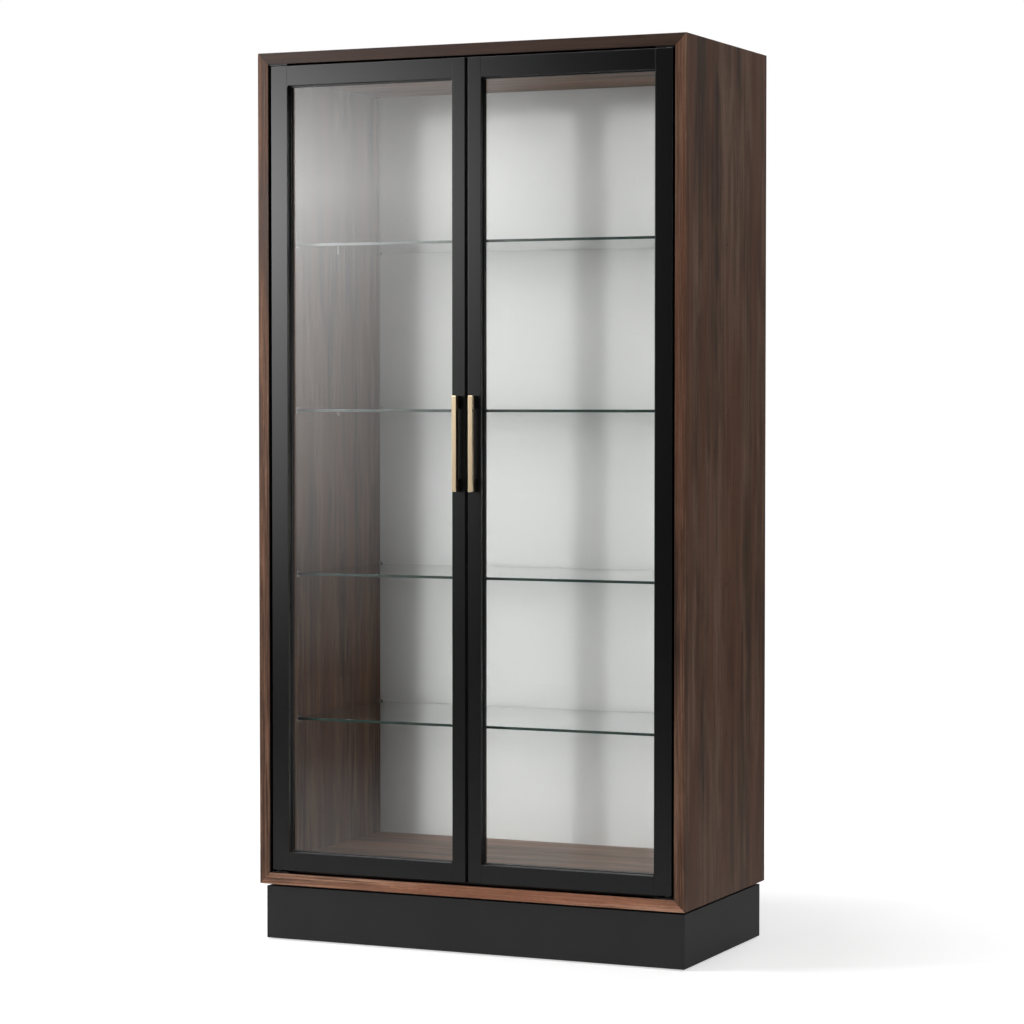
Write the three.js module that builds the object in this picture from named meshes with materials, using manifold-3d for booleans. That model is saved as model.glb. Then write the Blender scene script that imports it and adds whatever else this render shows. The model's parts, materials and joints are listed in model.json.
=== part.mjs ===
// China cabinet with two glass doors: a walnut surround with mitred corners around an inner case,
// glass shelves on clamp supports, and black framed doors on pivots, all on a recessed black plinth.
// Millimetres, +Z up, +X to the right of someone facing the doors, the doors face -Y.
// The origin is on the floor, under the middle of the box around the whole cabinet.
import * as THREE from "three";
import { mergeVertices } from "three/addons/utils/BufferGeometryUtils.js";
import Module from "manifold-3d";

const wasm = await Module();
wasm.setup();

// ---------------------------------------------------------------- driving dimensions
const GAP = 0.3; // clearance between faces that touch
const ROUND = 32; // sides of a round pin or hole

const WIDTH = 1000; // outside the walnut surround
const CARCASS_DEPTH = 490;
const CARCASS_HEIGHT = 1818;
const SURROUND = 25; // thickness of the four outer walnut panels
const LINING = 32; // thickness of the four inner panels
const LINING_SETBACK = 31; // front edge of the inner panels behind the front of the surround

const BACK_THICKNESS = 8;
const BACK_REBATE = 10; // how far the back panel is let into the surround

const FOOT_HEIGHT = 3;
const FOOT_DIAMETER = 40;
const FOOT_BLOCK = { width: 56, height: 30 }; // the block it turns on, inside the plinth corner
const PLINTH_HEIGHT = 115;
const PLINTH_THICKNESS = 18;
const PLINTH_SIDE_INSET = 8; // from the outside of the surround
const PLINTH_FRONT_INSET = 17;
const PLINTH_BACK_INSET = 8;
const NECK_HEIGHT = 7; // recessed slab between plinth and surround
const NECK_SIDE_INSET = 8; // from the outside of the plinth
const NECK_FRONT_INSET = 17;

const DOOR_RECESS = 2; // door face behind the front edge of the surround
const DOOR_THICKNESS = 24;
const DOOR_SIDE_GAP = 6;
const DOOR_TOP_GAP = 4.5;
const DOOR_BOTTOM_GAP = 7;
const DOOR_CENTRE_GAP = 6;
const HINGE_STILE = 40;
const MEETING_STILE = 31;
const TOP_RAIL = 43;
const BOTTOM_RAIL = 40;
const LIP = 3; // sight lip in front of the glass
const LIP_FRONT = 12; // its front face behind the door face
const REBATE_FRONT = 16.5; // front of the glazing rebate behind the door face
const REBATE_WIDTH = 7; // how far the glass runs into the frame
const GLASS_THICKNESS = 4;
const BEAD_THICKNESS = 2.6;
const ARRIS = 0.8; // small bevel on the outer edges of the door frame

const AXIS_FROM_EDGE = 11; // pivot axis from the hinge edge of a door
const AXIS_FROM_FACE = 10; // and behind the door face
const PIN_DIAMETER = 6;
const PIN_LENGTH = 10; // in the stile
const BORE_DIAMETER = 7;
const BORE_DEPTH = 12;
const PIVOT_PLATE = { length: 44, width: 16, thickness: 2.5, setback: 1 };
const PIVOT_SHOULDER = 12; // diameter of the collar that carries the door

const HANDLE_LENGTH = 204;
const HANDLE_CENTRE = 970; // above the underside of the surround
const HANDLE_BAR = { width: 10.5, depth: 12 };
const HANDLE_STANDOFF = 11; // clear space behind the bar
const HANDLE_X = 19; // middle of a bar from the middle of the cabinet
const POST = { width: 10, height: 27 };

const SHELF_THICKNESS = 6;
const SHELF_HEIGHTS = [360, 680, 1040, 1403]; // mid-glass above the underside of the surround
const SHELF_FRONT = 68; // behind the front of the surround
const SHELF_BACK = 476;
const SUPPORT = { width: 9, height: 14, reach: 9.4, spine: 2.4 };
const SUPPORT_PIN = { diameter: 5, length: 8 };
const SUPPORT_HOLE = { diameter: 5.6, depth: 9 };
const SUPPORT_INSET = 6; // middle of a support from the front or back edge of its shelf

// ---------------------------------------------------------------- levels worked out from them
const HANDLE_PROUD = HANDLE_BAR.depth + HANDLE_STANDOFF - DOOR_RECESS; // past the surround
const OVERALL_DEPTH = CARCASS_DEPTH + HANDLE_PROUD;
const FRONT = -OVERALL_DEPTH / 2 + HANDLE_PROUD; // y of the front edge of the surround
const BACK = FRONT + CARCASS_DEPTH;
const HALF = WIDTH / 2;

const PLINTH_BOTTOM = FOOT_HEIGHT;
const PLINTH_TOP = PLINTH_BOTTOM + PLINTH_HEIGHT;
const BASE = PLINTH_TOP + NECK_HEIGHT; // underside of the surround
const TOP = BASE + CARCASS_HEIGHT;

const LINING_FRONT = FRONT + LINING_SETBACK;
const BACK_FACE = BACK - BACK_THICKNESS; // front face of the back panel
const INNER_HALF = HALF - SURROUND - LINING; // half the clear width inside

const DOOR_FACE = FRONT + DOOR_RECESS;
const DOOR_REAR = DOOR_FACE + DOOR_THICKNESS;
const DOOR_BOTTOM = BASE + SURROUND + DOOR_BOTTOM_GAP;
const DOOR_TOP = TOP - SURROUND - DOOR_TOP_GAP;
const DOOR_OUTER = HALF - SURROUND - DOOR_SIDE_GAP; // |x| of the hinge edge
const DOOR_INNER = DOOR_CENTRE_GAP / 2; // |x| of the meeting edge

const MATERIALS = {
  walnut: { color: 0x6b4a38, roughness: 0.5, metalness: 0 },
  back: { color: 0xd2d2cf, roughness: 0.7, metalness: 0 },
  black: { color: 0x1c1c1d, roughness: 0.4, metalness: 0 },
  plastic: { color: 0x101010, roughness: 0.7, metalness: 0 },
  glass: { color: 0xcfe0da, roughness: 0.05, metalness: 0 },
  brass: { color: 0xd8b98a, roughness: 0.3, metalness: 1 },
  clear: { color: 0xe4e6e6, roughness: 0.1, metalness: 0 },
  steel: { color: 0x8c8e90, roughness: 0.35, metalness: 1 },
};
for (const [name, values] of Object.entries(MATERIALS)) {
  MATERIALS[name] = new THREE.MeshStandardMaterial(values);
}

// ---------------------------------------------------------------- solids
// A closed geometry as a solid that can be joined and cut.
function solid(geometry) {
  geometry.deleteAttribute("normal");
  geometry.deleteAttribute("uv");
  const merged = mergeVertices(geometry, 1e-4);
  return new wasm.Manifold(
    new wasm.Mesh({
      numProp: 3,
      vertProperties: new Float32Array(merged.attributes.position.array),
      triVerts: new Uint32Array(merged.index.array),
    }),
  );
}

// A box given by its two corners.
function block(x0, x1, y0, y1, z0, z1) {
  const shape = new THREE.BoxGeometry(x1 - x0, y1 - y0, z1 - z0);
  shape.translate((x0 + x1) / 2, (y0 + y1) / 2, (z0 + z1) / 2);
  return solid(shape);
}

// An upright cylinder from z0 to z1.
function upright(x, y, z0, z1, diameter, sides = ROUND) {
  const shape = new THREE.CylinderGeometry(diameter / 2, diameter / 2, z1 - z0, sides);
  shape.rotateX(Math.PI / 2);
  shape.translate(x, y, (z0 + z1) / 2);
  return solid(shape);
}

// A cylinder lying along X from x0 to x1.
function crosswise(x0, x1, y, z, diameter, sides = ROUND) {
  const shape = new THREE.CylinderGeometry(diameter / 2, diameter / 2, x1 - x0, sides);
  shape.rotateZ(Math.PI / 2);
  shape.translate((x0 + x1) / 2, y, z);
  return solid(shape);
}

// An outline in X and Z, given as [x, z] corners counter-clockwise seen from the front,
// carried along Y from y0 to y1.
function prismY(corners, y0, y1) {
  const outline = new THREE.Shape(corners.map(([x, z]) => new THREE.Vector2(x, z)));
  const shape = new THREE.ExtrudeGeometry(outline, { depth: y1 - y0, bevelEnabled: false });
  shape.rotateX(Math.PI / 2);
  shape.translate(0, y1, 0);
  return solid(shape);
}

// The same outline in X and Y, carried along Z from z0 to z1.
function prismZ(corners, z0, z1) {
  const outline = new THREE.Shape(corners.map(([x, y]) => new THREE.Vector2(x, y)));
  const shape = new THREE.ExtrudeGeometry(outline, { depth: z1 - z0, bevelEnabled: false });
  shape.translate(0, 0, z0);
  return solid(shape);
}

function geometryOf(body) {
  const mesh = body.getMesh();
  const geometry = new THREE.BufferGeometry();
  geometry.setAttribute("position", new THREE.BufferAttribute(mesh.vertProperties, 3));
  geometry.setIndex(new THREE.BufferAttribute(mesh.triVerts, 1));
  geometry.computeVertexNormals();
  return geometry;
}

const cabinet = new THREE.Group();
function add(name, body, material) {
  const mesh = new THREE.Mesh(geometryOf(body), MATERIALS[material]);
  mesh.name = name;
  cabinet.add(mesh);
}

// A solid made for the right half, turned over to the left half where side is -1.
function onSide(body, side) {
  return side > 0 ? body : body.mirror([1, 0, 0]);
}

const SIDES = [
  ["left", -1],
  ["right", 1],
];

// ---------------------------------------------------------------- plinth and feet
function plinth() {
  const outer = HALF - PLINTH_SIDE_INSET;
  const front = FRONT + PLINTH_FRONT_INSET;
  const back = BACK - PLINTH_BACK_INSET;
  const t = PLINTH_THICKNESS;
  const z0 = PLINTH_BOTTOM;
  const z1 = PLINTH_TOP;
  const half = GAP / 2;

  const frontOutline = [
    [-outer, front],
    [outer, front],
    [outer - t, front + t],
    [-outer + t, front + t],
  ];
  // The front board and the side boards meet in mitres, and the back board sits between the sides.
  add("plinth_front_board", prismZ(frontOutline, z0, z1), "black");
  const sideOutline = [
    [outer, front + GAP],
    [outer, back],
    [outer - t, back],
    [outer - t, front + t + GAP],
  ];
  for (const [name, side] of SIDES) {
    add(`plinth_${name}_board`, onSide(prismZ(sideOutline, z0, z1), side), "black");
  }
  add(
    "plinth_back_board",
    block(-outer + t + GAP, outer - t - GAP, back - t, back, z0, z1),
    "black",
  );

  const neck = outer - NECK_SIDE_INSET;
  add(
    "plinth_neck_board",
    block(
      -neck,
      neck,
      front + NECK_FRONT_INSET,
      back - NECK_SIDE_INSET,
      z1 + half,
      BASE - half,
    ),
    "black",
  );

  const inset = t + GAP + FOOT_BLOCK.width / 2;
  for (const [row, y] of [
    ["front", front + inset],
    ["rear", back - inset],
  ]) {
    for (const [name, side] of SIDES) {
      add(`foot_${row}_${name}`, foot(side * (outer - inset), y), "plastic");
    }
  }
}

// A glide: a disc that stands out under the plinth, on a square block screwed inside its corner.
function foot(x, y) {
  const half = FOOT_BLOCK.width / 2;
  const blockBottom = FOOT_HEIGHT + 1;
  const blockTop = blockBottom + FOOT_BLOCK.height;
  const disc = upright(x, y, 0, blockBottom + 1, FOOT_DIAMETER);
  return disc.add(block(x - half, x + half, y - half, y + half, blockBottom, blockTop));
}

// ---------------------------------------------------------------- walnut surround and inner case
function surround() {
  const t = SURROUND;
  const mitre = GAP / 2; // each mitred face steps back by this much
  const rebate = block(
    -HALF + t - BACK_REBATE,
    HALF - t + BACK_REBATE,
    BACK_FACE - GAP,
    BACK + 1,
    BASE + t - BACK_REBATE,
    TOP - t + BACK_REBATE,
  );
  const topOutline = [
    [-HALF + mitre, TOP],
    [-HALF + t + mitre, TOP - t],
    [HALF - t - mitre, TOP - t],
    [HALF - mitre, TOP],
  ];
  const bottomOutline = [
    [-HALF + mitre, BASE],
    [HALF - mitre, BASE],
    [HALF - t - mitre, BASE + t],
    [-HALF + t + mitre, BASE + t],
  ];
  const sideOutline = [
    [HALF, BASE + mitre],
    [HALF, TOP - mitre],
    [HALF - t, TOP - t - mitre],
    [HALF - t, BASE + t + mitre],
  ];
  add("top_panel", prismY(topOutline, FRONT, BACK).subtract(rebate), "walnut");
  add("bottom_panel", prismY(bottomOutline, FRONT, BACK).subtract(rebate), "walnut");
  for (const [name, side] of SIDES) {
    const panel = onSide(prismY(sideOutline, FRONT, BACK), side);
    add(`${name}_side_panel`, panel.subtract(rebate), "walnut");
  }
  const backHalf = HALF - t + BACK_REBATE - GAP;
  add(
    "back_panel",
    block(
      -backHalf,
      backHalf,
      BACK_FACE,
      BACK,
      BASE + t - BACK_REBATE + GAP,
      TOP - t + BACK_REBATE - GAP,
    ),
    "back",
  );
}

// The y of the front and the rear support of each shelf.
const SUPPORT_ROWS = [
  ["front", FRONT + SHELF_FRONT + SUPPORT_INSET],
  ["rear", FRONT + SHELF_BACK - SUPPORT_INSET],
];

function innerCase() {
  const outer = HALF - SURROUND - GAP;
  const z0 = BASE + SURROUND + GAP;
  const z1 = TOP - SURROUND - GAP;
  const y1 = BACK_FACE - GAP;
  for (const [name, side] of SIDES) {
    let panel = onSide(block(INNER_HALF, outer, LINING_FRONT, y1, z0, z1), side);
    for (const height of SHELF_HEIGHTS) {
      for (const [, y] of SUPPORT_ROWS) {
        const deep = INNER_HALF + SUPPORT_HOLE.depth;
        const hole = crosswise(INNER_HALF - 1, deep, y, BASE + height, SUPPORT_HOLE.diameter, 16);
        panel = panel.subtract(onSide(hole, side));
      }
    }
    add(`inner_${name}_panel`, panel, "walnut");
  }
  const half = INNER_HALF - GAP;
  const ceiling = TOP - SURROUND - LINING;
  const floor = BASE + SURROUND + LINING;
  add("inner_top_panel", block(-half, half, LINING_FRONT, y1, ceiling, z1), "walnut");
  add("inner_bottom_panel", block(-half, half, LINING_FRONT, y1, z0, floor), "walnut");
}

// ---------------------------------------------------------------- shelves
// A clamp: a spine against the panel with a jaw above and below the glass, and a pin in the panel.
function shelfSupport(y, z) {
  const { width, height, reach, spine } = SUPPORT;
  const glass = SHELF_THICKNESS / 2 + GAP;
  const face = INNER_HALF - GAP;
  const round = 2; // corner bevel at the end of a jaw
  const tip = face - reach;
  const outline = [
    [face, -height / 2],
    [face, height / 2],
    [tip + round, height / 2],
    [tip, height / 2 - round],
    [tip, glass],
    [face - spine, glass],
    [face - spine, -glass],
    [tip, -glass],
    [tip, -height / 2 + round],
    [tip + round, -height / 2],
  ];
  const corners = outline.map(([x, dz]) => [x, z + dz]);
  const clamp = prismY(corners, y - width / 2, y + width / 2);
  const pin = crosswise(face - 1, face + SUPPORT_PIN.length, y, z, SUPPORT_PIN.diameter, 16);
  return clamp.add(pin);
}

function shelves() {
  const half = INNER_HALF - GAP - SUPPORT.spine - GAP;
  SHELF_HEIGHTS.forEach((height, index) => {
    const z = BASE + height;
    const shelf = `shelf_${index + 1}`;
    add(
      shelf,
      block(
        -half,
        half,
        FRONT + SHELF_FRONT,
        FRONT + SHELF_BACK,
        z - SHELF_THICKNESS / 2,
        z + SHELF_THICKNESS / 2,
      ),
      "glass",
    );
    for (const [row, y] of SUPPORT_ROWS) {
      for (const [name, side] of SIDES) {
        add(`${shelf}_support_${row}_${name}`, onSide(shelfSupport(y, z), side), "clear");
      }
    }
  });
}

// ---------------------------------------------------------------- doors
const PIVOT_X = DOOR_OUTER - AXIS_FROM_EDGE;
const PIVOT_Y = DOOR_FACE + AXIS_FROM_FACE;

// A frame member seen along its length: front corners bevelled by ARRIS. The outline runs from
// the outer edge u0 to the inner edge u1, and from the face to the rear.
function memberOutline(u0, u1) {
  return [
    [u0 + ARRIS, DOOR_FACE],
    [u1 - ARRIS, DOOR_FACE],
    [u1, DOOR_FACE + ARRIS],
    [u1, DOOR_REAR],
    [u0, DOOR_REAR],
    [u0, DOOR_FACE + ARRIS],
  ];
}

// A horizontal member: the outline is carried along X instead of Z.
function prismX(corners, x0, x1) {
  const outline = new THREE.Shape(corners.map(([z, y]) => new THREE.Vector2(y, z)));
  const shape = new THREE.ExtrudeGeometry(outline, { depth: x1 - x0, bevelEnabled: false });
  shape.rotateX(Math.PI / 2);
  shape.rotateZ(Math.PI / 2);
  shape.translate(x0, 0, 0);
  return solid(shape);
}

// The right door, which onSide turns over into the left one.
function door(name, side) {
  const stileInner = DOOR_OUTER - HINGE_STILE;
  const meetingInner = DOOR_INNER + MEETING_STILE;
  const railTop = DOOR_TOP - TOP_RAIL;
  const railBottom = DOOR_BOTTOM + BOTTOM_RAIL;
  const lipFront = DOOR_FACE + LIP_FRONT;
  const rebateFront = DOOR_FACE + REBATE_FRONT;

  const rebate = block(
    meetingInner - REBATE_WIDTH,
    stileInner + REBATE_WIDTH,
    rebateFront,
    DOOR_REAR + 1,
    railBottom - REBATE_WIDTH,
    railTop + REBATE_WIDTH,
  );
  const lipZ0 = railBottom + LIP + GAP;
  const lipZ1 = railTop - LIP - GAP;

  let hingeStile = prismZ(memberOutline(stileInner, DOOR_OUTER), DOOR_BOTTOM, DOOR_TOP);
  hingeStile = hingeStile
    .add(block(stileInner - LIP, stileInner + 1, lipFront, rebateFront, lipZ0, lipZ1))
    .subtract(rebate)
    .subtract(upright(PIVOT_X, PIVOT_Y, DOOR_TOP - BORE_DEPTH, DOOR_TOP + 1, BORE_DIAMETER))
    .subtract(upright(PIVOT_X, PIVOT_Y, DOOR_BOTTOM - 1, DOOR_BOTTOM + BORE_DEPTH, BORE_DIAMETER));
  add(`${name}_door_hinge_stile`, onSide(hingeStile, side), "black");

  const meetingStile = prismZ(memberOutline(DOOR_INNER, meetingInner), DOOR_BOTTOM, DOOR_TOP)
    .add(block(meetingInner - 1, meetingInner + LIP, lipFront, rebateFront, lipZ0, lipZ1))
    .subtract(rebate);
  add(`${name}_door_meeting_stile`, onSide(meetingStile, side), "black");

  const railX0 = meetingInner + GAP;
  const railX1 = stileInner - GAP;
  const topRail = prismX(memberOutline(railTop, DOOR_TOP), railX0, railX1)
    .add(block(railX0, railX1, lipFront, rebateFront, railTop - LIP, railTop + 1))
    .subtract(rebate);
  add(`${name}_door_top_rail`, onSide(topRail, side), "black");
  const bottomRail = prismX(memberOutline(DOOR_BOTTOM, railBottom), railX0, railX1)
    .add(block(railX0, railX1, lipFront, rebateFront, railBottom - 1, railBottom + LIP))
    .subtract(rebate);
  add(`${name}_door_bottom_rail`, onSide(bottomRail, side), "black");

  const paneX0 = meetingInner - REBATE_WIDTH + GAP;
  const paneX1 = stileInner + REBATE_WIDTH - GAP;
  const paneZ0 = railBottom - REBATE_WIDTH + GAP;
  const paneZ1 = railTop + REBATE_WIDTH - GAP;
  const paneY0 = rebateFront + GAP;
  const paneY1 = paneY0 + GLASS_THICKNESS;
  const pane = block(paneX0, paneX1, paneY0, paneY1, paneZ0, paneZ1);
  add(`${name}_door_glass`, onSide(pane, side), "glass");

  const beadY0 = paneY1 + GAP;
  const beadY1 = beadY0 + BEAD_THICKNESS;
  const bead = block(paneX0, paneX1, beadY0, beadY1, paneZ0, paneZ1).subtract(
    block(
      meetingInner + LIP,
      stileInner - LIP,
      beadY0 - 1,
      beadY1 + 1,
      railBottom + LIP,
      railTop - LIP,
    ),
  );
  add(`${name}_door_glazing_bead`, onSide(bead, side), "black");

  handle(name, side);
}

// A flat brass bar that stands off the meeting stile on two black posts, flush with its ends.
function handle(name, side) {
  const z0 = BASE + HANDLE_CENTRE - HANDLE_LENGTH / 2;
  const z1 = z0 + HANDLE_LENGTH;
  const barBack = DOOR_FACE - HANDLE_STANDOFF;
  const barFront = barBack - HANDLE_BAR.depth;
  const half = HANDLE_BAR.width / 2;
  add(
    `${name}_handle_bar`,
    onSide(block(HANDLE_X - half, HANDLE_X + half, barFront, barBack, z0, z1), side),
    "brass",
  );
  for (const [place, bottom] of [
    ["upper", z1 - POST.height],
    ["lower", z0],
  ]) {
    const post = block(
      HANDLE_X - POST.width / 2,
      HANDLE_X + POST.width / 2,
      barBack + GAP,
      DOOR_FACE - GAP,
      bottom,
      bottom + POST.height,
    );
    add(`${name}_handle_post_${place}`, onSide(post, side), "plastic");
  }
}

// ---------------------------------------------------------------- pivots
// A plate screwed to the surround, with a pin in the end of the hinge stile. The lower pivot
// has a collar that carries the door.
function pivot(lower) {
  const { length, width, thickness } = PIVOT_PLATE;
  const seat = lower ? BASE + SURROUND + GAP : TOP - SURROUND - GAP;
  const doorEnd = lower ? DOOR_BOTTOM : DOOR_TOP;
  const inward = lower ? 1 : -1;
  const plateX = HALF - SURROUND - PIVOT_PLATE.setback;
  const stretch = (from, to) => [Math.min(from, to), Math.max(from, to)];

  const plate = block(
    plateX - length,
    plateX,
    PIVOT_Y - width / 2,
    PIVOT_Y + width / 2,
    ...stretch(seat, seat + inward * thickness),
  );
  const inPlate = seat + (inward * thickness) / 2;
  const pinEnds = stretch(inPlate, doorEnd + inward * PIN_LENGTH);
  const body = plate.add(upright(PIVOT_X, PIVOT_Y, ...pinEnds, PIN_DIAMETER));
  if (!lower) return body;
  const collarEnds = stretch(inPlate, doorEnd - inward * GAP);
  return body.add(upright(PIVOT_X, PIVOT_Y, ...collarEnds, PIVOT_SHOULDER));
}

function pivots() {
  for (const [name, side] of SIDES) {
    add(`${name}_door_top_pivot`, onSide(pivot(false), side), "steel");
    add(`${name}_door_bottom_pivot`, onSide(pivot(true), side), "steel");
  }
}

plinth();
surround();
innerCase();
shelves();
for (const [name, side] of SIDES) {
  door(name, side);
}
pivots();

export default cabinet;
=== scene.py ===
"""The looks of the china cabinet: walnut veneer, satin black doors, clear glass and brass handles, with the
small fittings that the solid model leaves out, in a plain studio. Metres, +Z up, the doors face -Y."""

import json
import math

import bpy
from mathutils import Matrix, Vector


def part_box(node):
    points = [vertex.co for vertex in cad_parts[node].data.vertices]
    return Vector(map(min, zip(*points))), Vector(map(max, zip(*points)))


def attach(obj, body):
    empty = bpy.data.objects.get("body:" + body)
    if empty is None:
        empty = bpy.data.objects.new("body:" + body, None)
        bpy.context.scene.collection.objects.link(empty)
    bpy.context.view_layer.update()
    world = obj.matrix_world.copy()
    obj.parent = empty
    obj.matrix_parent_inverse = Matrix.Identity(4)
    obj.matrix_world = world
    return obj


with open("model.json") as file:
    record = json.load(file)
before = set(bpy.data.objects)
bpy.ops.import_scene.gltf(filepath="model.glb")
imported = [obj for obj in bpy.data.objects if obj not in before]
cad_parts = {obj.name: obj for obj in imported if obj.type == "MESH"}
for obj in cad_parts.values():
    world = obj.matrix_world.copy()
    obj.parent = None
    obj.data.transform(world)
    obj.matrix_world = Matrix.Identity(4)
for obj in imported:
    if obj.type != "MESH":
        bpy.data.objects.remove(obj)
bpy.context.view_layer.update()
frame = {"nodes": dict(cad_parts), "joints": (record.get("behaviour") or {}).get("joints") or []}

MM = 0.001
NODES = frame["nodes"]
SIDES = (("left", -1), ("right", 1))  # each side with the sign of its X
SHELVES = [f"shelf_{i}" for i in range(1, 5)]
ALONG_X, ALONG_Z = 0, 2  # the axis that a grain or a brush mark runs along

# ---------------------------------------------------------------- camera
CAMERA_AZIMUTH = math.radians(24.06)
CAMERA_PITCH = math.radians(2.065)  # looking down
CAMERA_PLACE = (2.838, -6.351, 1.193)
CAMERA_LENS = 111.45  # millimetres, like the width of its sensor
SENSOR_WIDTH = 36


def make_camera():
    data = bpy.data.cameras.new("camera")
    data.lens = CAMERA_LENS
    data.sensor_width = SENSOR_WIDTH
    data.clip_end = 100
    camera = bpy.data.objects.new("camera", data)
    camera.location = CAMERA_PLACE
    camera.rotation_euler = (math.pi / 2 - CAMERA_PITCH, 0, CAMERA_AZIMUTH)
    bpy.context.scene.collection.objects.link(camera)
    bpy.context.scene.camera = camera


# ---------------------------------------------------------------- node trees
class Nodes:
    """The emptied node tree of a material or a world, with short calls to fill it. Where a call takes a
    value, the output socket of another node will do as well."""

    def __init__(self, owner):
        owner.use_nodes = True
        self.owner = owner
        self.tree = owner.node_tree
        self.tree.nodes.clear()
        self.places = self.new("TexCoord").outputs

    def feed(self, socket, value):
        if isinstance(value, bpy.types.NodeSocket):
            self.tree.links.new(value, socket)
        else:
            socket.default_value = (*value, 1) if socket.type == "RGBA" else value

    def new(self, kind, **inputs):
        """Adds a node. Its inputs go by name, with _ for a space."""
        node = self.tree.nodes.new("ShaderNode" + kind)
        for name, value in inputs.items():
            self.feed(node.inputs[name.replace("_", " ")], value)
        return node

    def noise(self, scale, detail=3.0, roughness=0.5, distortion=0.0):
        """Noise whose features are 1 / scale metres long along the object's own X, Y and Z."""
        place = self.new("Mapping", Vector=self.places["Object"], Scale=scale).outputs["Vector"]
        node = self.new("TexNoise", Vector=place, Scale=1.0, Detail=detail)
        self.feed(node.inputs["Roughness"], roughness)
        self.feed(node.inputs["Distortion"], distortion)
        return node.outputs["Fac"]

    def ramp(self, source, stops):
        """A colour for a value, from stops of (value, colour)."""
        node = self.new("ValToRGB", Fac=source)
        elements = node.color_ramp.elements
        while len(elements) < len(stops):
            elements.new(0.5)
        for element, (place, colour) in zip(elements, stops):
            element.position = place
            element.color = (*colour, 1)
        return node.outputs["Color"]

    def remap(self, source, low, high, new_low, new_high):
        """Takes the range from low to high to the range from new_low to new_high, and no further."""
        node = self.new("MapRange", Value=source, From_Min=low, From_Max=high)
        self.feed(node.inputs["To Min"], new_low)
        self.feed(node.inputs["To Max"], new_high)
        return node.outputs["Result"]

    def math(self, operation, result, *others):
        """The result so far with each other value in turn, by an operation such as ADD."""
        for value in others:
            node = self.new("Math")
            node.operation = operation
            self.feed(node.inputs[0], result)
            self.feed(node.inputs[1], value)
            result = node.outputs["Value"]
        return result

    def part(self, vector, axis):
        """The X, Y or Z of a vector."""
        return self.new("SeparateXYZ", Vector=vector).outputs[axis]

    def between(self, axis, low, high):
        """1 where the object's own coordinate on an axis is between low and high, else 0."""
        value = self.part(self.places["Object"], axis)
        above = self.math("GREATER_THAN", value, low)
        below = self.math("LESS_THAN", value, high)
        return self.math("MULTIPLY", above, below)

    def mix(self, factor, a, b, blend="MIX"):
        """Colour a where factor is 0 and b where it is 1, or a times b for the blend MULTIPLY."""
        node = self.new("Mix")
        node.data_type = "RGBA"
        node.blend_type = blend
        for name, value in (("Factor_Float", factor), ("A_Color", a), ("B_Color", b)):
            self.feed(next(s for s in node.inputs if s.identifier == name), value)
        return next(s for s in node.outputs if s.identifier == "Result_Color")

    def bump(self, height, strength, distance):
        return self.new("Bump", Height=height, Strength=strength, Distance=distance).outputs["Normal"]

    def principled(self, **inputs):
        return self.new("BsdfPrincipled", **inputs).outputs["BSDF"]

    def emission(self, strength):
        return self.new("Emission", Strength=strength).outputs["Emission"]

    def transparent(self, colour=(1, 1, 1)):
        return self.new("BsdfTransparent", Color=colour).outputs["BSDF"]

    def light_path(self):
        return self.new("LightPath").outputs

    def mix_shaders(self, factor, a, b):
        """Shader a where factor is 0 and b where it is 1."""
        node = self.new("MixShader")
        for socket, value in zip(node.inputs, (factor, a, b)):
            self.feed(socket, value)
        return node.outputs["Shader"]

    def done(self, shader, output="OutputMaterial"):
        self.new(output, Surface=shader)
        return self.owner


def material_nodes(name):
    return Nodes(bpy.data.materials.new(name))


def scaled(colour, factor):
    return [part * factor for part in colour]


# ---------------------------------------------------------------- materials
# The colours of the walnut figure, from its dark lines to its pale ones.
WALNUT_FIGURE = [
    (0.420, (0.060, 0.036, 0.026)),
    (0.470, (0.125, 0.071, 0.047)),
    (0.510, (0.190, 0.105, 0.067)),
    (0.565, (0.310, 0.188, 0.127)),
]
WALNUT_RED = (0.225, 0.096, 0.054)  # the redder bands
WALNUT_PORE = (0.046, 0.025, 0.017)
FRONT_EDGE_TINT = (1.04, 0.96, 0.94)
# Painted shadow: the black put on the faces in the gaps round the doors, where they fall into shade.
PAINTED_SHADOW_BLACK = (0.010, 0.010, 0.010)
FACE_TOLERANCE = 0.05 * MM  # how far past a face the painted shadow on it reaches


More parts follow.
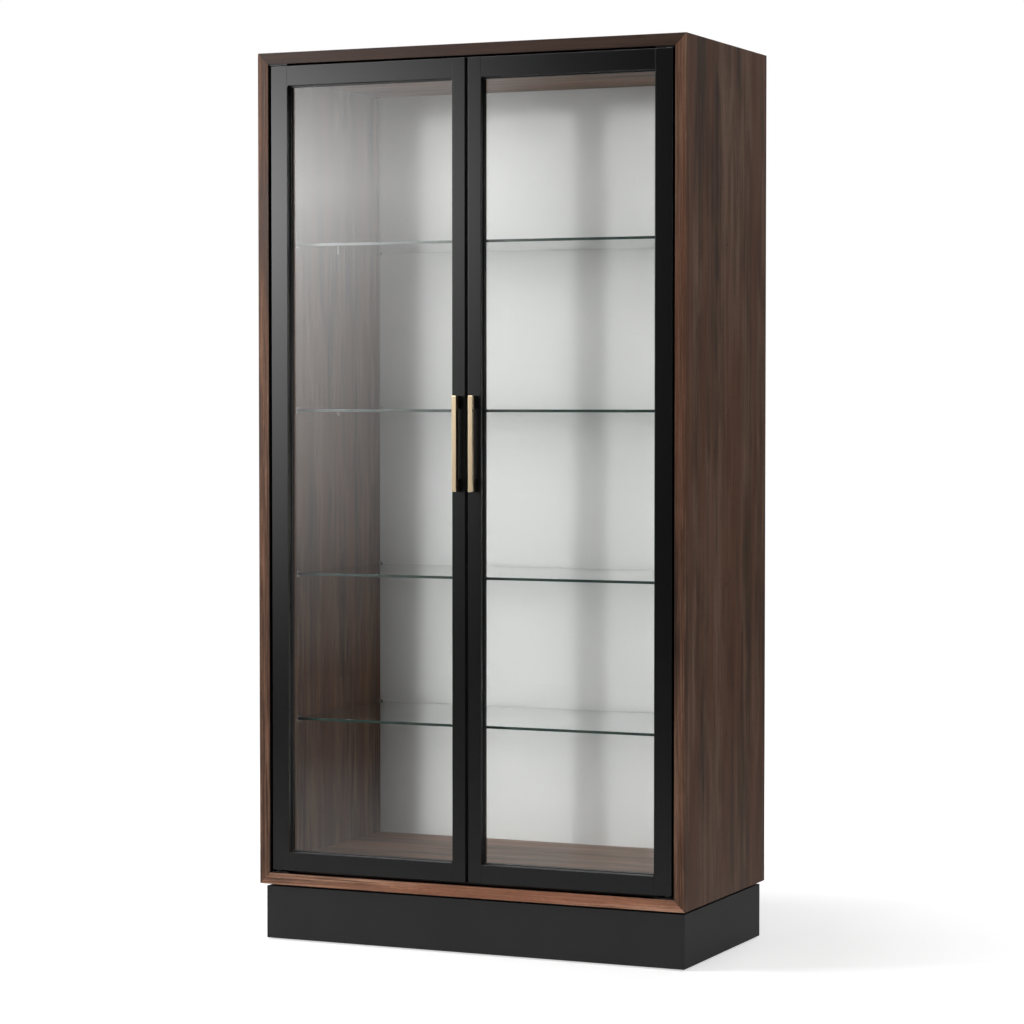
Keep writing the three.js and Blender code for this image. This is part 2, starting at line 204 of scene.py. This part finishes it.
def walnut(name, grain, painted_light_level, painted_edge_light_level, black):
    """Straight-grained walnut veneer, satin, with the grain along one axis. A board's colour is multiplied by
    a level of painted light and shade, lighter or darker for how the lamps fall on that board, and that of
    its front edge by a level of its own, also painted light and shade. black gives the faces behind and round
    the doors that are made black as painted shadow, where the gaps fall into shade."""
    n = material_nodes(name)

    def stretched(across, along):
        return [along if axis == grain else across for axis in range(3)]

    broad = n.noise(stretched(7, 0.6), detail=2, distortion=0.4)
    cloud = n.noise(stretched(19, 3.2), detail=3, roughness=0.6, distortion=0.6)
    streak = n.noise(stretched(75, 2.0), detail=4, roughness=0.62, distortion=0.2)
    fine = n.noise(stretched(420, 7), detail=3, roughness=0.65)
    pores = n.noise(stretched(1700, 70), detail=2, roughness=0.5)
    shares = ((broad, 0.16), (cloud, 0.24), (streak, 0.22), (fine, 0.38))
    figure = n.math("ADD", *[n.math("MULTIPLY", source, share) for source, share in shares])
    red = n.noise(stretched(23, 1.1), detail=2)
    colour = n.mix(n.remap(red, 0.48, 0.64, 0.0, 0.6), n.ramp(figure, WALNUT_FIGURE), WALNUT_RED)
    front = n.between("Y", -1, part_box("top_panel")[0].y + 0.6 * MM)
    # Painted light and shade: each board, and its front edge apart, is made lighter or darker for how the
    # lamps fall on it.
    shade = n.mix(front, (painted_light_level, painted_light_level, painted_light_level), scaled(FRONT_EDGE_TINT, painted_edge_light_level))
    colour = n.mix(1.0, colour, shade, blend="MULTIPLY")
    colour = n.mix(n.remap(pores, 0.54, 0.68, 0.0, 0.45), colour, scaled(WALNUT_PORE, painted_light_level))
    # Painted shadow: the faces in the gaps round the doors are made black for the shade there.
    colour = n.mix(black(n), colour, PAINTED_SHADOW_BLACK)
    roughness = n.remap(fine, 0.3, 0.7, 0.44, 0.58)
    normal = n.bump(n.math("SUBTRACT", fine, n.math("MULTIPLY", pores, 0.6)), 0.25, 0.15 * MM)
    wood = n.principled(Base_Color=colour, Roughness=roughness, Normal=normal, Specular_IOR_Level=0.32)
    return n.done(wood)


def inner_faces(n):
    """The faces of the surround that look inwards, which are made black as painted shadow where the gaps
    round the doors fall into shade.
    """
    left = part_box("left_side_panel")[1].x - FACE_TOLERANCE
    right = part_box("right_side_panel")[0].x + FACE_TOLERANCE
    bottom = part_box("bottom_panel")[1].z - FACE_TOLERANCE
    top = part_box("top_panel")[0].z + FACE_TOLERANCE
    return n.math("MULTIPLY", n.between("X", left, right), n.between("Z", bottom, top))


def front_edges(n):
    """The front edges of the inner case, behind the edges of the doors, which are made black as painted
    shadow where the gaps round the doors fall into shade.
    """
    return n.between("Y", -1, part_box("inner_top_panel")[0].y + FACE_TOLERANCE)


def meeting_edges(n):
    """The edges where the doors meet, with their arrises."""
    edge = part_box("right_door_meeting_stile")[0].x + 0.9 * MM
    return n.between("X", -edge, edge)


def lacquer(name, colour, roughness, matt=None):
    """Satin sprayed lacquer: an even colour, with the faint orange peel of a sprayed coat. The faces that
    matt gives are left matt."""
    n = material_nodes(name)
    cloud = n.noise((6, 6, 3), detail=2)
    peel = n.noise((420, 420, 420), detail=2)
    base = n.mix(n.remap(cloud, 0.3, 0.7, 0.0, 1.0), colour, scaled(colour, 1.25))
    rough = n.remap(peel, 0.3, 0.7, roughness - 0.015, roughness + 0.015)
    if matt:
        rough = n.math("MAXIMUM", rough, n.math("MULTIPLY", matt(n), 0.95))
    return n.done(n.principled(Base_Color=base, Roughness=rough, Normal=n.bump(peel, 0.03, 0.04 * MM)))


def painted_board(name):
    """Off-white paint put on with a roller."""
    n = material_nodes(name)
    roll = n.noise((180, 180, 180), detail=3)
    cloud = n.noise((2.5, 2.5, 2.5), detail=2)
    base = n.mix(cloud, (0.600, 0.603, 0.594), (0.640, 0.643, 0.634))
    return n.done(n.principled(Base_Color=base, Roughness=0.6, Normal=n.bump(roll, 0.08, 0.08 * MM)))


def lets_light_through(n, glass, passed):
    """Mixes in plain transparency for the rays that test for shadow, so that glass casts almost no shadow."""
    return n.mix_shaders(n.light_path()["Is Shadow Ray"], glass, n.transparent(passed))


def door_glass(name):
    """Clear float glass."""
    n = material_nodes(name)
    glass = n.principled(Base_Color=(0.992, 0.994, 0.993), Roughness=0.0, IOR=1.5, Transmission_Weight=1.0)
    return n.done(lets_light_through(n, glass, (0.915, 0.925, 0.92)))


def clear_plastic(name):
    """Clear moulded plastic, faintly milky."""
    n = material_nodes(name)
    tint = n.mix(n.noise((150, 150, 150), detail=2), (0.94, 0.95, 0.95), (0.98, 0.98, 0.98))
    body = n.principled(Base_Color=tint, Roughness=0.06, IOR=1.49, Transmission_Weight=1.0)
    return n.done(lets_light_through(n, body, (0.88, 0.88, 0.88)))


def shelf_glass(name):
    """Clear glass whose polished edges show its green depth."""
    n = material_nodes(name)
    level = n.math("ABSOLUTE", n.part(n.places["Normal"], "Z"), 0)
    edge = n.math("LESS_THAN", level, 0.5)
    face = n.principled(Base_Color=(0.975, 0.99, 0.985), Roughness=0.0, IOR=1.5, Transmission_Weight=1.0)
    green = n.mix(n.noise((25, 25, 400), detail=2), (0.012, 0.024, 0.020), (0.030, 0.052, 0.045))
    rim = n.principled(Base_Color=green, Roughness=0.08, IOR=1.6)
    return n.done(lets_light_through(n, n.mix_shaders(edge, face, rim), (0.915, 0.93, 0.925)))


def brushed_metal(name, colour, roughness, along):
    """Metal brushed along one axis."""
    n = material_nodes(name)
    scale = [25 if axis == along else 2600 for axis in range(3)]
    brush = n.noise(scale, detail=3, roughness=0.6)
    base = n.mix(brush, scaled(colour, 0.88), colour)
    rough = n.remap(brush, 0.3, 0.7, roughness - 0.04, roughness + 0.04)
    normal = n.bump(brush, 0.12, 0.03 * MM)
    return n.done(n.principled(Base_Color=base, Metallic=1.0, Roughness=rough, Normal=normal))


def plated_metal(name, colour, roughness):
    n = material_nodes(name)
    cloud = n.noise((300, 300, 300), detail=3)
    base = n.mix(cloud, scaled(colour, 0.8), colour)
    rough = n.remap(cloud, 0.3, 0.7, roughness - 0.04, roughness + 0.08)
    return n.done(n.principled(Base_Color=base, Metallic=1.0, Roughness=rough))


def plastic(name, colour, roughness):
    """Moulded plastic or rubber with a fine grain."""
    n = material_nodes(name)
    speck = n.noise((900, 900, 900), detail=2)
    base = n.mix(speck, scaled(colour, 0.8), scaled(colour, 1.2))
    rough = n.remap(speck, 0.3, 0.7, roughness - 0.06, roughness + 0.06)
    return n.done(n.principled(Base_Color=base, Roughness=rough, Normal=n.bump(speck, 0.15, 0.04 * MM)))


def make_materials():
    return {
        # Painted light and shade: the two levels of each board make it and its front edge lighter or darker
        # for how the lamps fall on it.
        "walnut_left": walnut("walnut_left", ALONG_Z, painted_light_level=0.8, painted_edge_light_level=1.05, black=inner_faces),
        "walnut_right": walnut("walnut_right", ALONG_Z, painted_light_level=0.73, painted_edge_light_level=0.73, black=inner_faces),
        "walnut_top": walnut("walnut_top", ALONG_X, painted_light_level=0.7, painted_edge_light_level=0.15, black=inner_faces),
        "walnut_bottom": walnut("walnut_bottom", ALONG_X, painted_light_level=0.8, painted_edge_light_level=1.8, black=inner_faces),
        "walnut_case_side": walnut("walnut_case_side", ALONG_Z, painted_light_level=0.78, painted_edge_light_level=0.78, black=front_edges),
        "walnut_case_end": walnut("walnut_case_end", ALONG_X, painted_light_level=1.25, painted_edge_light_level=1.25, black=front_edges),
        "back_paint": painted_board("back_paint"),
        "door_lacquer": lacquer("door_lacquer", (0.0060, 0.0060, 0.0062), 0.29, matt=meeting_edges),
        "plinth_lacquer": lacquer("plinth_lacquer", (0.020, 0.020, 0.0205), 0.5),
        "door_glass": door_glass("door_glass"),
        "shelf_glass": shelf_glass("shelf_glass"),
        "clear_plastic": clear_plastic("clear_plastic"),
        "brass": brushed_metal("brass", (0.90, 0.71, 0.475), 0.18, ALONG_Z),
        "post_black": lacquer("post_black", (0.006, 0.006, 0.006), 0.4),
        "nickel": plated_metal("nickel", (0.74, 0.74, 0.75), 0.18),
        "steel": plated_metal("steel", (0.50, 0.51, 0.53), 0.32),
        "black_zinc": plated_metal("black_zinc", (0.045, 0.045, 0.048), 0.42),
        "bead": plastic("bead", (0.010, 0.010, 0.010), 0.55),
        "foot_plastic": plastic("foot_plastic", (0.015, 0.015, 0.015), 0.6),
        "bush_nylon": plastic("bush_nylon", (0.42, 0.41, 0.38), 0.45),
        "pad_rubber": plastic("pad_rubber", (0.22, 0.22, 0.22), 0.35),
    }


# ---------------------------------------------------------------- finish of the CAD nodes
# How far the sharp edges of a node are rounded, in millimetres, by its material.
WALNUT_ROUNDING = 0.5
EDGE_ROUNDING = {
    "back_paint": 0.2,
    "door_lacquer": 0.7,
    "plinth_lacquer": 0.7,
    "foot_plastic": 0.8,
    "door_glass": 0.1,
    "shelf_glass": 0.4,
    "brass": 0.7,
    "post_black": 0.3,
    "clear_plastic": 0.7,
    "bead": 0.3,
}
NODE_ENDINGS = {
    "_door_glass": "door_glass",
    "_glazing_bead": "bead",
    "_handle_bar": "brass",
    "_post_upper": "post_black",
    "_post_lower": "post_black",
    "_pivot": "post_black",
    "_stile": "door_lacquer",
    "_rail": "door_lacquer",
}


def material_of(node):
    """The name of a CAD node's material."""
    if node.startswith("plinth_"):
        return "plinth_lacquer"
    if node.startswith("foot_"):
        return "foot_plastic"
    if node == "back_panel":
        return "back_paint"
    if node.startswith("inner_"):
        return "walnut_case_end" if "top" in node or "bottom" in node else "walnut_case_side"
    if node.endswith("_panel"):
        return "walnut_" + node.split("_")[0]
    if "_support_" in node:
        return "clear_plastic"
    for ending, material in NODE_ENDINGS.items():
        if node.endswith(ending):
            return material
    return "shelf_glass"


def round_edges(piece, width):
    """Joins vertices that the import split, then rounds the sharp edges."""
    weld = piece.modifiers.new("weld", "WELD")
    weld.merge_threshold = 0.01 * MM
    bevel = piece.modifiers.new("bevel", "BEVEL")
    bevel.width = width
    bevel.segments = 2
    bevel.limit_method = "ANGLE"
    bevel.angle_limit = math.radians(35)
    bevel.harden_normals = True


def finish_cad_nodes():
    for name, node in NODES.items():
        material = material_of(name)
        node.data.materials.clear()
        node.data.materials.append(MATERIALS[material])
        round_edges(node, EDGE_ROUNDING.get(material, WALNUT_ROUNDING) * MM)


# ---------------------------------------------------------------- shapes for small fittings
def add_piece(name, vertices, faces, material, body):
    mesh = bpy.data.meshes.new(name)
    mesh.from_pydata([tuple(v) for v in vertices], [], faces)
    mesh.validate()
    mesh.update()
    mesh.materials.append(MATERIALS[material])
    piece = bpy.data.objects.new(name, mesh)
    bpy.context.scene.collection.objects.link(piece)
    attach(piece, body)
    return piece


def ring_vertices(rings, place, direction, sides):
    """Rings round an axis through place. Each ring is (height, radius) in millimetres, and a radius may be a
    function of the angle."""
    axis = Vector(direction).normalized()
    across = axis.orthogonal().normalized()
    other = axis.cross(across)
    vertices = []
    for height, radius in rings:
        for i in range(sides):
            angle = 2 * math.pi * i / sides
            r = (radius(angle) if callable(radius) else radius) * MM
            offset = across * math.cos(angle) * r + other * math.sin(angle) * r
            vertices.append(Vector(place) + axis * height * MM + offset)
    return vertices


def ring_faces(count, sides, hollow):
    """The faces from each of count rings to the next, and in a hollow piece from the last to the first."""
    faces = []
    for ring in range(count if hollow else count - 1):
        step = ((ring + 1) % count - ring) * sides
        for i in range(sides):
            a = ring * sides + i
            b = ring * sides + (i + 1) % sides
            faces.append((a, b, b + step, a + step))
    return faces


def turned(name, rings, place, direction, material, body, sides=32):
    """A solid piece made of rings, whose first and last rings are closed."""
    vertices = ring_vertices(rings, place, direction, sides)
    faces = ring_faces(len(rings), sides, hollow=False)
    faces.append(tuple(reversed(range(sides))))
    faces.append(tuple(range(len(vertices) - sides, len(vertices))))
    piece = add_piece(name, vertices, faces, material, body)
    piece.data.polygons.foreach_set("use_smooth", [len(face) == 4 for face in faces])
    edge = piece.modifiers.new("edges", "EDGE_SPLIT")
    edge.split_angle = math.radians(35)


def hollow_turned(name, rings, place, direction, material, body, sides=32):
    """A piece with an open middle, whose last ring joins the first."""
    vertices = ring_vertices(rings, place, direction, sides)
    add_piece(name, vertices, ring_faces(len(rings), sides, hollow=True), material, body)


def cross_recess(reach, width):
    """The outline of a cross-head recess, as a radius for each angle."""

    def radius(angle):
        c = max(abs(math.cos(angle)), 1e-6)
        s = max(abs(math.sin(angle)), 1e-6)
        return max(min(reach / c, width / s), min(width / c, reach / s))

    return radius


def screw_head(name, place, direction, diameter, body):
    """A pan head with a cross recess, its underside at place."""
    r = diameter / 2
    height = 0.34 * diameter
    recess = cross_recess(0.52 * r, 0.14 * r)
    rings = [
        (0, r * 0.97),
        (height * 0.35, r),
        (height * 0.72, r * 0.86),
        (height * 0.95, r * 0.62),
        (height, recess),
        (height * 0.35, lambda angle: recess(angle) * 0.7),
    ]
    turned(name, rings, place, direction, "black_zinc", body, sides=48)


def centre_of(node):
    low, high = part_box(node)
    return (low + high) / 2


# ---------------------------------------------------------------- small fittings, in millimetres
PLATE_THICKNESS = 2.5
PLATE_SCREW_DIAMETER = 4.6
PLATE_SCREWS_FROM_PIN = (10, 19)
BUSH_DEPTH = 11
BUSH_INSIDE, BUSH_OUTSIDE, BUSH_FLANGE = 3.05, 3.42, 5.4  # radii
HANDLE_BOLT_DIAMETER = 7.5
CATCH_FROM_MIDDLE = 70
PADS_FROM_MIDDLE = (("inner", 20), ("outer", 400))
BACK_SCREW_DIAMETER = 5.5
BACK_SCREW_INSET = 7
BACK_SCREW_END = 60  # from the end of a side to its first screw
BACK_SCREWS_DOWN, BACK_SCREWS_ACROSS = 7, 3
JOINT_GROOVE = 1.0
PIN_BELOW_SHELF = 4.6
CAP_BELOW_SHELF = 10


def bush_rings(flanged):
    """A bush for the end of a hinge stile. With a flange it sits on the stile; without, it ends inside."""
    rings = [(-BUSH_DEPTH, BUSH_INSIDE), (-BUSH_DEPTH, BUSH_OUTSIDE)]
    if flanged:
        rings += [(0.05, BUSH_OUTSIDE), (0.05, BUSH_FLANGE), (1, BUSH_FLANGE), (1, BUSH_INSIDE)]
    else:
        rings += [(-0.4, BUSH_OUTSIDE), (-0.4, BUSH_INSIDE)]
    return rings


def pin_place(side):
    """The X and Y of a door's axis."""
    joint = next(joint for joint in frame["joints"] if joint["child"] == f"{side}_door")
    return joint["pos_m"][:2]


def pivot_details():
    """A nylon bush round each pin and two screws in each plate. The lower bushes leave room for the shoulder
    of the pin, which carries the door."""
    for side, sign in SIDES:
        pin_x, pin_y = pin_place(side)
        stile_low, stile_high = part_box(f"{side}_door_hinge_stile")
        for end, up, stile_end in (("top", 1, stile_high.z), ("bottom", -1, stile_low.z)):
            hollow_turned(f"{side}_{end}_pivot_bush", bush_rings(end == "top"), (pin_x, pin_y, stile_end),
                          (0, 0, up), "bush_nylon", f"{side}_door")
            plate_low, plate_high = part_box(f"{side}_door_{end}_pivot")
            seat = plate_high.z - PLATE_THICKNESS * MM if end == "top" else plate_low.z + PLATE_THICKNESS * MM
            for i, distance in enumerate(PLATE_SCREWS_FROM_PIN):
                place = (pin_x - sign * distance * MM, pin_y, seat)
                screw_head(f"{side}_{end}_pivot_screw_{i + 1}", place, (0, 0, -up), PLATE_SCREW_DIAMETER,
                           "cabinet")


def handle_bolts():
    for side, _ in SIDES:
        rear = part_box(f"{side}_door_meeting_stile")[1].y
        for end in ("upper", "lower"):
            post = centre_of(f"{side}_handle_post_{end}")
            place = (post.x, rear, post.z)
            screw_head(f"{side}_handle_{end}_bolt", place, (0, 1, 0), HANDLE_BOLT_DIAMETER, f"{side}_door")


def catches():
    """A round magnet let into the front edge of the inner top panel, and the steel disc that it holds on the
    door."""
    magnet = [(0, 7), (1.2, 7), (1.5, 6.7), (1.5, 5), (3.1, 5), (3.4, 4.7)]
    strike = [(0, 7), (0.9, 7), (1.2, 6.7), (1.2, 2.2), (0.5, 1.4)]
    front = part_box("inner_top_panel")[0].y
    height = centre_of("inner_top_panel").z
    for side, sign in SIDES:
        x = sign * CATCH_FROM_MIDDLE * MM
        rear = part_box(f"{side}_door_top_rail")[1].y
        turned(f"{side}_catch_magnet", magnet, (x, front, height), (0, -1, 0), "nickel",
               "cabinet")
        turned(f"{side}_catch_strike", strike, (x, rear, height), (0, 1, 0), "steel",
               f"{side}_door")


def bump_pads():
    """Soft domes that a closed door rests on, near its four corners."""
    dome = [(0, 5), (0.8, 5), (2.2, 4.6), (3.5, 3.4), (4.3, 1.8), (4.5, 0.6)]
    for end in ("top", "bottom"):
        panel = f"inner_{end}_panel"
        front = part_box(panel)[0].y
        height = centre_of(panel).z
        for side, sign in SIDES:
            for spot, distance in PADS_FROM_MIDDLE:
                place = (sign * distance * MM, front, height)
                turned(f"bump_pad_{end}_{side}_{spot}", dome, place, (0, -1, 0), "pad_rubber",
                       "cabinet")


def back_screws():
    """Screws down both sides of the back panel, then along its bottom and its top."""
    low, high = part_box("back_panel")
    inset = BACK_SCREW_INSET * MM
    first, last = low.z + BACK_SCREW_END * MM, high.z - BACK_SCREW_END * MM
    spots = []
    for x in (low.x + inset, high.x - inset):
        for i in range(BACK_SCREWS_DOWN):
            spots.append((x, first + (last - first) * i / (BACK_SCREWS_DOWN - 1)))
    for z in (low.z + inset, high.z - inset):
        for i in range(BACK_SCREWS_ACROSS):
            spots.append((low.x + (high.x - low.x) * (i + 1) / (BACK_SCREWS_ACROSS + 1), z))
    for count, (x, z) in enumerate(spots, 1):
        screw_head(f"back_screw_{count:02d}", (x, high.y, z), (0, 1, 0), BACK_SCREW_DIAMETER, "cabinet")


def joint_fillers():
    """Filler in the joints between the rails and stiles of the doors, which the lacquer covers: a wedge,
    flush in front."""
    groove = JOINT_GROOVE * MM
    front = -0.02 * MM
    tip = 0.1 * MM
    section = [(-groove, front), (groove, front), (tip, groove), (-tip, groove)]
    faces = [(3, 2, 1, 0), (4, 5, 6, 7)]
    faces += [(i, (i + 1) % 4, 4 + (i + 1) % 4, 4 + i) for i in range(4)]
    for side, _ in SIDES:
        for end in ("top", "bottom"):
            rail_low, rail_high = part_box(f"{side}_door_{end}_rail")
            heights = (rail_low.z + 0.8 * MM, rail_high.z - 0.8 * MM)
            for spot, joint in (("left", rail_low.x), ("right", rail_high.x)):
                vertices = [(joint + x, rail_low.y + y, z) for z in heights for x, y in section]
                add_piece(f"{side}_door_{end}_joint_{spot}", vertices, faces, "door_lacquer",
                          f"{side}_door")


def middle_pins():
    """A pin under the middle of each end of each shelf."""
    pin = [(0.05, 5.5), (1.0, 5.5), (1.4, 4.5), (8.4, 4.5), (9.0, 3.9), (9.0, 2.4), (7.8, 2.0)]
    for side, sign in SIDES:
        wall_low, wall_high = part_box(f"inner_{side}_panel")
        face = wall_high.x if side == "left" else wall_low.x
        for shelf in SHELVES:
            place = (face, centre_of(shelf).y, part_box(shelf)[0].z - PIN_BELOW_SHELF * MM)
            turned(f"{shelf}_middle_pin_{side}", pin, place, (-sign, 0, 0), "clear_plastic",
                   "cabinet")


def side_caps():
    """Small cover caps half way back on the outside, level with each shelf."""
    cap = [(-0.1, 2.2), (0.15, 2.2), (0.35, 1.8)]
    for side, sign in SIDES:
        low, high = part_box(f"{side}_side_panel")
        face = low.x if side == "left" else high.x
        for shelf in SHELVES:
            place = (face, (low.y + high.y) / 2, centre_of(shelf).z - CAP_BELOW_SHELF * MM)
            turned(f"{side}_cap_{shelf}", cap, place, (sign, 0, 0), "bead", "cabinet")


# ---------------------------------------------------------------- studio
FLOOR_HALF = 40
KEY_AZIMUTH = math.radians(10.7)
KEY_HEIGHT = math.radians(3.9)
KEY_SPREAD = math.radians(5.4)
OVERHEAD_HEIGHT = 3.5
REFLECTOR_Y = -1.6
# The reflector's light at some heights in metres, as a share of its brightest.
REFLECTOR_LEVELS = [
    (0.45, 0),
    (0.68, 0.075),
    (1.0, 0.24),
    (1.35, 0.45),
    (1.5, 0.6),
    (1.62, 0.8),
    (1.75, 1.0),
    (1.86, 0.85),
    (2.06, 0.45),
    (2.3, 0.15),
]
REFLECTOR_SPAN = 2.5  # those heights lie between 0 and this
# Soft lamps that light everything and don't show in reflections: name, place, aim, size and watts.
FILLS = (
    ("side_fill", (3.4, -0.6, 2.2), (0.5, 0, 1.0), (2.0, 2.0), 28),
    ("top_fill", (0.2, -1.8, 4.2), (0, -0.6, 0), (2.5, 2.5), 25),
    ("back_fill", (0.6, 4.6, 2.8), (0, 0, 1.0), (2.5, 2.5), 90),
)


def aimed(direction):
    """The rotation that makes a lamp shine in a direction."""
    return direction.to_track_quat("-Z", "Y").to_euler()


def area_light(name, place, target, size, power):
    data = bpy.data.lights.new(name, "AREA")
    data.shape = "RECTANGLE"
    data.size, data.size_y = size
    data.energy = power
    lamp = bpy.data.objects.new(name, data)
    lamp.location = place
    lamp.rotation_euler = aimed(Vector(target) - Vector(place))
    bpy.context.scene.collection.objects.link(lamp)
    return lamp


def lights_only(lamp, objects):
    group = bpy.data.collections.new(lamp.name + "_on")
    for lit in objects:
        group.objects.link(lit)
    lamp.light_linking.receiver_collection = group


def four_corners(name, corners):
    """A flat sheet with the corners given."""
    mesh = bpy.data.meshes.new(name)
    mesh.from_pydata(corners, [], [(0, 1, 2, 3)])
    sheet = bpy.data.objects.new(name, mesh)
    bpy.context.scene.collection.objects.link(sheet)
    return sheet


def seen_by_camera(n):
    """1 for what the camera sees, also through glass, and 0 for what only lights or is reflected."""
    path = n.light_path()
    bounced = n.math("ADD", path["Diffuse Depth"], path["Glossy Depth"])
    through = n.math("MULTIPLY", path["Is Transmission Ray"], n.math("LESS_THAN", bounced, 0.5))
    return n.math("MAXIMUM", path["Is Camera Ray"], through)


def make_world():
    """White for the camera. For everything else a dim room, darker in front of the cabinet."""
    world = bpy.data.worlds.new("studio")
    bpy.context.scene.world = world
    n = Nodes(world)
    above = n.remap(n.part(n.places["Generated"], "Z"), -0.03, 0.14, 0.0, 1.0)
    behind = n.remap(n.part(n.places["Generated"], "Y"), 0.0, 0.6, 0.0, 1.0)
    room = n.math("ADD", n.math("MULTIPLY", above, behind, 0.34), 0.03)
    path = n.light_path()
    in_reflections = n.math("MULTIPLY", room, n.math("GREATER_THAN", path["Glossy Depth"], 0.5))
    on_surfaces = n.math("MULTIPLY", path["Is Diffuse Ray"], 0.065)
    level = n.math("MAXIMUM", in_reflections, on_surfaces, seen_by_camera(n))
    background = n.new("Background", Color=(1, 1, 1), Strength=level)
    n.done(background.outputs["Background"], output="OutputWorld")


def make_floor():
    """A white floor that meets the white behind it, with the cabinet's soft shadow. Further off it gives no
    reflection."""
    half = FLOOR_HALF
    floor = four_corners("floor", [(-half, -half, 0), (half, -half, 0), (half, half, 0), (-half, half, 0)])
    n = material_nodes("floor_paint")
    length = n.new("VectorMath")
    length.operation = "LENGTH"
    n.feed(length.inputs[0], n.places["Object"])
    distance = length.outputs["Value"]
    near = n.remap(distance, 1.0, 4.0, 1.0, 0.08)
    base = n.mix(n.noise((0.8, 0.8, 0.8), detail=2), (0.66, 0.66, 0.66), (0.70, 0.70, 0.70))
    faded = n.mix(near, (0.0, 0.0, 0.0), base)
    paint = n.principled(Base_Color=faded, Roughness=0.8, Specular_IOR_Level=0.1)
    lift = n.remap(distance, 0.7, 2.0, 0.56, 1.0)
    both = n.new("AddShader")
    n.feed(both.inputs[0], paint)
    n.feed(both.inputs[1], n.emission(n.math("MULTIPLY", lift, seen_by_camera(n))))
    floor.data.materials.append(n.done(both.outputs["Shader"]))


def reflected_card(name, corners, place):
    """A card that only shows as a reflection."""
    card = four_corners(name, corners)
    card.location = place
    card.visible_camera = False
    card.visible_diffuse = False
    card.visible_shadow = False
    return card


def card_glow(n, strength):
    """A card's own light. It is there in reflections only, and clear to what is seen straight through the
    glass and to the light that matt surfaces receive."""
    path = n.light_path()
    reflected = n.math("GREATER_THAN", path["Glossy Depth"], 0.5)
    there = n.math("MULTIPLY", reflected, n.math("LESS_THAN", path["Diffuse Depth"], 0.5))
    return n.mix_shaders(there, n.transparent(), n.emission(strength))


def make_overhead():
    """A bright card over the front, which lights up the arrises that face upwards."""
    left, right, front, back = -2.6, 0.5, -2.2, 0
    corners = [(left, front, 0), (right, front, 0), (right, back, 0), (left, back, 0)]
    card = reflected_card("overhead", corners, (0, 0, OVERHEAD_HEIGHT))
    n = material_nodes("overhead_glow")
    card.data.materials.append(n.done(card_glow(n, 15.0)))


def make_reflector():
    """A soft card at the front left, brightest at its left and a little below the cabinet's top."""
    left, right, bottom, top = -3.2, 0.3, 0.45, 3.2
    corners = [(left, 0, bottom), (right, 0, bottom), (right, 0, top), (left, 0, top)]
    card = reflected_card("reflector", corners, (0, REFLECTOR_Y, 0))
    n = material_nodes("reflector_glow")
    x = n.part(n.places["Object"], "X")
    z = n.part(n.places["Object"], "Z")
    fading = n.math("POWER", n.remap(x, -1.6, -0.1, 1.0, 0.0), 1.8)
    ending = n.remap(x, -0.56, -0.36, 1.0, 0.0)
    levels = [(height / REFLECTOR_SPAN, (level, level, level)) for height, level in REFLECTOR_LEVELS]
    rising = n.ramp(n.remap(z, 0.0, REFLECTOR_SPAN, 0.0, 1.0), levels)
    strength = n.math("MULTIPLY", fading, ending, rising, 12.0)
    card.data.materials.append(n.done(card_glow(n, strength)))


def make_key():
    """A large lamp far off to the front left, a little above the cabinet's top. It lights the back panel
    through the doors."""
    data = bpy.data.lights.new("key", "SUN")
    data.energy = 1.03
    data.angle = KEY_SPREAD
    lamp = bpy.data.objects.new("key", data)
    lamp.rotation_euler = aimed(Vector((math.sin(KEY_AZIMUTH), math.cos(KEY_AZIMUTH), -math.tan(KEY_HEIGHT))))
    lamp.visible_glossy = False
    bpy.context.scene.collection.objects.link(lamp)


def make_lamps():
    """The fills, and three lamps that each light one thing."""
    for name, place, target, size, power in FILLS:
        area_light(name, place, target, size, power).visible_glossy = False
    handles = area_light("handle_light", (-1.9, -4.0, 1.2), (0, -0.25, 1.1), (1.6, 1.6), 90)
    lights_only(handles, [NODES[f"{side}_handle_bar"] for side, _ in SIDES])
    left = area_light("left_fill", (-1.3, -2.4, 1.3), (-0.2, 0.2, 1.1), (0.9, 1.6), 27)
    lights_only(left, [NODES["back_panel"]])
    floor = area_light("floor_light", (-3.6, -2.2, 2.6), (0.4, 0, 0), (1.8, 1.8), 175)
    lights_only(floor, [bpy.data.objects["floor"]])


def make_studio():
    bpy.context.scene.view_settings.view_transform = "Standard"
    make_world()
    make_floor()
    make_reflector()
    make_overhead()
    make_key()
    make_lamps()


make_camera()
MATERIALS = make_materials()
finish_cad_nodes()
pivot_details()
handle_bolts()
catches()
bump_pads()
back_screws()
joint_fillers()
middle_pins()
side_caps()
make_studio()

bpy.context.view_layer.update()
